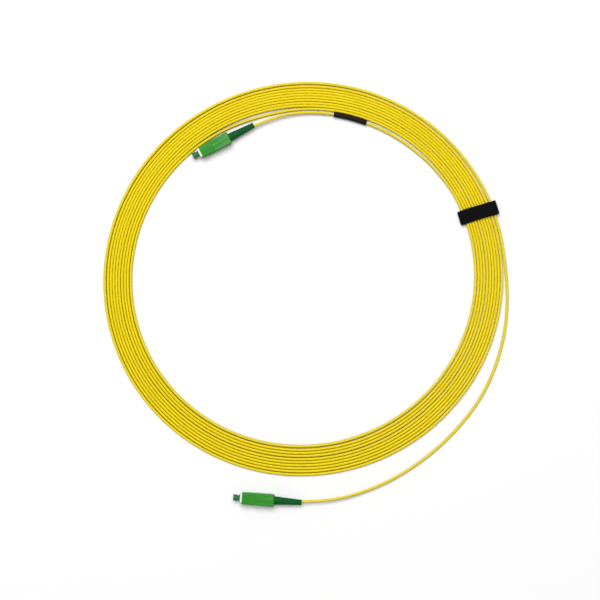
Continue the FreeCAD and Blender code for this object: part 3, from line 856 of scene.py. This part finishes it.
# One shared group: two-tone patches, uneven roughness and a fine grain
def makeSurfaceGroup():
    group = bpy.data.node_groups.new("surface", "ShaderNodeTree")
    for name in ("Base", "Second"):
        group.interface.new_socket(name, in_out="INPUT", socket_type="NodeSocketColor")
    for name in ("Patch scale", "Patch amount", "Rough low", "Rough high", "Grain scale", "Grain depth"):
        group.interface.new_socket(name, in_out="INPUT", socket_type="NodeSocketFloat")
    for name, kind in (("Colour", "Color"), ("Roughness", "Float"), ("Normal", "Vector")):
        group.interface.new_socket(name, in_out="OUTPUT", socket_type=f"NodeSocket{kind}")
    nodes, links = group.nodes, group.links
    given = nodes.new("NodeGroupInput")
    result = nodes.new("NodeGroupOutput")
    place = nodes.new("ShaderNodeTexCoord")
    patches = nodes.new("ShaderNodeTexNoise")
    grain = nodes.new("ShaderNodeTexNoise")
    for texture, scale in ((patches, "Patch scale"), (grain, "Grain scale")):
        texture.inputs["Detail"].default_value = 4
        links.new(place.outputs["Object"], texture.inputs["Vector"])
        links.new(given.outputs[scale], texture.inputs["Scale"])
    share = nodes.new("ShaderNodeMath")
    share.operation = "MULTIPLY"
    links.new(patches.outputs["Fac"], share.inputs[0])
    links.new(given.outputs["Patch amount"], share.inputs[1])
    mix = nodes.new("ShaderNodeMix")
    mix.data_type = "RGBA"
    links.new(share.outputs[0], mix.inputs["Factor"])
    links.new(given.outputs["Base"], mix.inputs[6])
    links.new(given.outputs["Second"], mix.inputs[7])
    links.new(mix.outputs[2], result.inputs["Colour"])
    rough = nodes.new("ShaderNodeMapRange")
    links.new(grain.outputs["Fac"], rough.inputs["Value"])
    links.new(given.outputs["Rough low"], rough.inputs["To Min"])
    links.new(given.outputs["Rough high"], rough.inputs["To Max"])
    links.new(rough.outputs["Result"], result.inputs["Roughness"])
    bump = nodes.new("ShaderNodeBump")
    links.new(given.outputs["Grain depth"], bump.inputs["Distance"])
    links.new(grain.outputs["Fac"], bump.inputs["Height"])
    links.new(bump.outputs["Normal"], result.inputs["Normal"])
    return group


def makeMaterial(name, group, look):
    material = bpy.data.materials.new(name)
    material.use_nodes = True
    nodes, links = material.node_tree.nodes, material.node_tree.links
    shader = nodes["Principled BSDF"]
    surface = nodes.new("ShaderNodeGroup")
    surface.node_tree = group
    given = {
        "Base": (*look["base"], 1),
        "Second": (*look["second"], 1),
        "Patch scale": look["patchScale"],
        "Patch amount": look["patch"],
        "Rough low": look["rough"][0],
        "Rough high": look["rough"][1],
        "Grain scale": look["grainScale"],
        "Grain depth": look["grain"],
    }
    for socket, value in given.items():
        surface.inputs[socket].default_value = value
    links.new(surface.outputs["Colour"], shader.inputs["Base Color"])
    links.new(surface.outputs["Roughness"], shader.inputs["Roughness"])
    links.new(surface.outputs["Normal"], shader.inputs["Normal"])
    for socket, value in look.get("shader", {}).items():
        shader.inputs[socket].default_value = value
    return material


surfaceGroup = makeSurfaceGroup()
materials = {name: makeMaterial(name, surfaceGroup, look) for name, look in finishSet.items()}


def paint(piece, name):
    if not piece.material_slots:
        piece.data.materials.append(None)
    for slot in piece.material_slots:
        slot.material = materials[name]


paint(cord, "jacket")
paint(strap, "strap")
paint(pile, "pile")
paint(sleeve, "sleeve")
for tag in "ab":
    paint(boots[tag], "boot")
    paint(caps[tag], "cap")
    paint(grips[tag], "grip")
    paint(noses[tag], "plugFrame")
    for node, name in insideFinish.items():
        paint(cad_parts[f"{node}_{tag}"], name)
print("stage: materials")


# Stage: white floor that fades into a white world, with painted shade in its narrow gaps, one large soft
# lamp from above

stageSet = {
    "floorRadius": 1.6,
    "floorLevel": -0.02 * mm,
    "floor": (0.98, 0.98, 0.98),
    "floorBounce": (0.30, 0.30, 0.30),
    "fadeFrom": 0.36,
    "fadeTo": 0.8,
    "gap": (0.24, 0.17, 0.008),      # painted shade: dark yellow-brown put on the floor between two strands and beside things, for shade and yellow bounce light
    # reach and thresholds of the occlusion that sets the painted shade
    "paintedShadeReach": 2.0 * mm,
    "paintedShadeFrom": 0.3,
    "paintedShadeTo": 0.7,
    "sky": 0.32,
    "lamp": (-0.35, 1.2, 3.4),
    "lampSize": 2.6,
    "lampPower": 114,
}


# Adds camera, glossy and transmission rays into one factor
def seenFactor(tree):
    path = tree.nodes.new("ShaderNodeLightPath")
    total = path.outputs["Is Camera Ray"]
    for name in ("Is Glossy Ray", "Is Transmission Ray"):
        add = tree.nodes.new("ShaderNodeMath")
        add.operation = "ADD"
        add.use_clamp = True
        tree.links.new(total, add.inputs[0])
        tree.links.new(path.outputs[name], add.inputs[1])
        total = add.outputs[0]
    return total


def makeFloorMaterial():
    material = bpy.data.materials.new("floor")
    material.use_nodes = True
    tree = material.node_tree
    nodes, links = tree.nodes, tree.links
    nodes.clear()
    output = nodes.new("ShaderNodeOutputMaterial")
    seen = nodes.new("ShaderNodeBsdfDiffuse")
    paintedShadeOcclusion = nodes.new("ShaderNodeAmbientOcclusion")  # painted shade: occlusion darkens the floor's colour in the narrow gaps and beside things
    paintedShadeOcclusion.inputs["Distance"].default_value = stageSet["paintedShadeReach"]
    depth = nodes.new("ShaderNodeMapRange")
    depth.inputs["From Min"].default_value = stageSet["paintedShadeFrom"]
    depth.inputs["From Max"].default_value = stageSet["paintedShadeTo"]
    links.new(paintedShadeOcclusion.outputs["AO"], depth.inputs["Value"])
    # painted shade: the floor's colour goes from white to the painted shade colour as the occlusion
    # deepens
    tone = nodes.new("ShaderNodeMix")
    tone.data_type = "RGBA"
    tone.inputs[6].default_value = (*stageSet["gap"], 1)
    tone.inputs[7].default_value = (*stageSet["floor"], 1)
    links.new(depth.outputs["Result"], tone.inputs["Factor"])
    links.new(tone.outputs[2], seen.inputs["Color"])
    bounce = nodes.new("ShaderNodeBsdfDiffuse")
    bounce.inputs["Color"].default_value = (*stageSet["floorBounce"], 1)
    glow = nodes.new("ShaderNodeEmission")
    place = nodes.new("ShaderNodeTexCoord")
    reach = nodes.new("ShaderNodeVectorMath")
    reach.operation = "LENGTH"
    links.new(place.outputs["Object"], reach.inputs[0])
    fade = nodes.new("ShaderNodeMapRange")
    fade.inputs["From Min"].default_value = stageSet["fadeFrom"]
    fade.inputs["From Max"].default_value = stageSet["fadeTo"]
    links.new(reach.outputs["Value"], fade.inputs["Value"])
    edge = nodes.new("ShaderNodeMixShader")
    links.new(fade.outputs["Result"], edge.inputs["Fac"])
    links.new(seen.outputs[0], edge.inputs[1])
    links.new(glow.outputs[0], edge.inputs[2])
    both = nodes.new("ShaderNodeMixShader")
    links.new(seenFactor(tree), both.inputs["Fac"])
    links.new(bounce.outputs[0], both.inputs[1])
    links.new(edge.outputs[0], both.inputs[2])
    links.new(both.outputs[0], output.inputs["Surface"])
    return material


def makeFloor():
    mesh = bpy.data.meshes.new("floor")
    work = bmesh.new()
    bmesh.ops.create_circle(work, cap_ends=True, segments=96, radius=stageSet["floorRadius"])
    work.to_mesh(mesh)
    work.free()
    mesh.materials.append(makeFloorMaterial())
    floor = bpy.data.objects.new("floor", mesh)
    floor.location.z = stageSet["floorLevel"]
    scene.collection.objects.link(floor)


def makeWorld():
    world = bpy.data.worlds.new("world")
    world.use_nodes = True
    tree = world.node_tree
    sky = tree.nodes["Background"]
    level = tree.nodes.new("ShaderNodeMapRange")
    level.inputs["To Min"].default_value = stageSet["sky"]
    level.inputs["To Max"].default_value = 1
    tree.links.new(seenFactor(tree), level.inputs["Value"])
    tree.links.new(level.outputs["Result"], sky.inputs["Strength"])
    sky.inputs["Color"].default_value = (1, 1, 1, 1)
    scene.world = world


def makeLamp():
    light = bpy.data.lights.new("lamp", "AREA")
    light.shape = "DISK"
    light.size = stageSet["lampSize"]
    light.energy = stageSet["lampPower"]
    lamp = bpy.data.objects.new("lamp", light)
    lamp.location = stageSet["lamp"]
    lamp.rotation_euler = (-Vector(stageSet["lamp"])).to_track_quat("-Z", "Y").to_euler()
    scene.collection.objects.link(lamp)


makeFloor()
makeWorld()
makeLamp()
scene.view_settings.view_transform = "Standard"
print("stage: floor, world and lamp")
